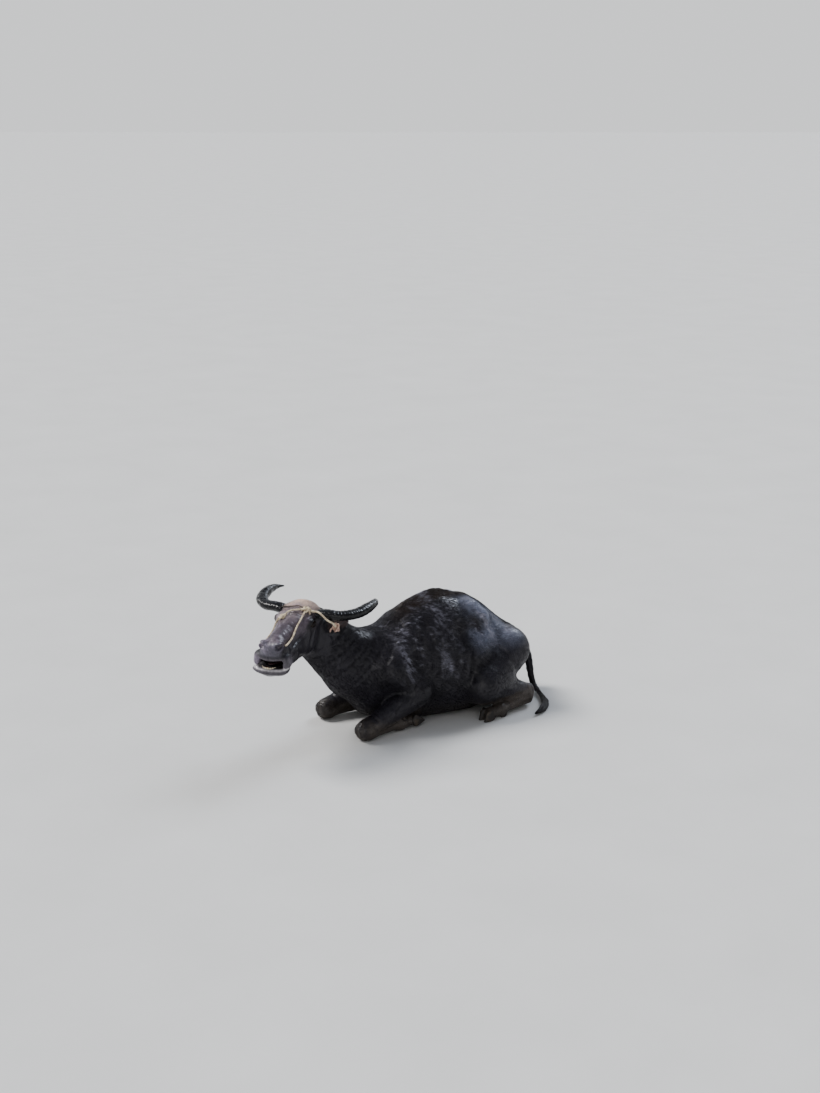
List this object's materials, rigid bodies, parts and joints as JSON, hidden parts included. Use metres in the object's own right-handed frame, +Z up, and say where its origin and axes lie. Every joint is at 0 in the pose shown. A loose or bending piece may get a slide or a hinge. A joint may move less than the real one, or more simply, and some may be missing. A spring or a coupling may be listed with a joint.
{
  "type": "water buffalo",
  "caption": "Life-size still model of a dark swamp-type water buffalo resting on its chest, legs folded, head raised and mouth open, in a rope halter.",
  "frame": {"origin": "on the floor, under the middle of the whole model's box", "axes": "+Z up, the animal heads along -Y and its left side is +X"},
  "size_m": [0.9006, 1.9638, 0.7995],
  "materials": {
    "hide": "wet, near-black hide with sparse short hair and fine wrinkles",
    "horn": "glossy black horn with cross ridges",
    "hoof": "dull dark claws with growth lines",
    "eye": "wet, very dark brown eye",
    "tongue": "wet grey-pink tongue",
    "tooth": "worn ivory teeth, stained at the gum",
    "rope": "twisted straw-coloured rope with loose fibres",
    "tail_hair": "coarse black hair"
  },
  "bodies": {
    "root": {"trunk": "hide", "neck": "hide", "head": "hide", "lower_jaw": "hide", "ear_left": "hide", "ear_right": "hide", "foreleg_upper_left": "hide", "foreleg_upper_right": "hide", "foreleg_lower_left": "hide", "foreleg_lower_right": "hide", "hindleg_upper_left": "hide", "hindleg_upper_right": "hide", "hindleg_lower_left": "hide", "hindleg_lower_right": "hide", "tail_upper": "hide", "tail_lower": "hide", "horn_left": "horn", "eye_left": "eye", "horn_right": "horn", "eye_right": "eye", "tongue": "tongue", "lower_teeth": "tooth", "tail_switch": "tail_hair", "foreleg_left_claw_inner": "hoof", "foreleg_left_claw_outer": "hoof", "foreleg_left_dewclaw_inner": "hoof", "foreleg_left_dewclaw_outer": "hoof", "foreleg_right_claw_inner": "hoof", "foreleg_right_claw_outer": "hoof", "foreleg_right_dewclaw_inner": "hoof", "foreleg_right_dewclaw_outer": "hoof", "hindleg_left_claw_inner": "hoof", "hindleg_left_claw_outer": "hoof", "hindleg_left_dewclaw_inner": "hoof", "hindleg_left_dewclaw_outer": "hoof", "hindleg_right_claw_inner": "hoof", "hindleg_right_claw_outer": "hoof", "hindleg_right_dewclaw_inner": "hoof", "hindleg_right_dewclaw_outer": "hoof", "halter_forehead_knot": "rope", "halter_brow_knot": "rope", "halter_cheek_knot": "rope", "halter_face_strand_left": "rope", "halter_face_strand_right": "rope", "halter_brow_band": "rope", "halter_poll_band": "rope", "halter_cheek_strand": "rope"}
  },
  "joints": []
}
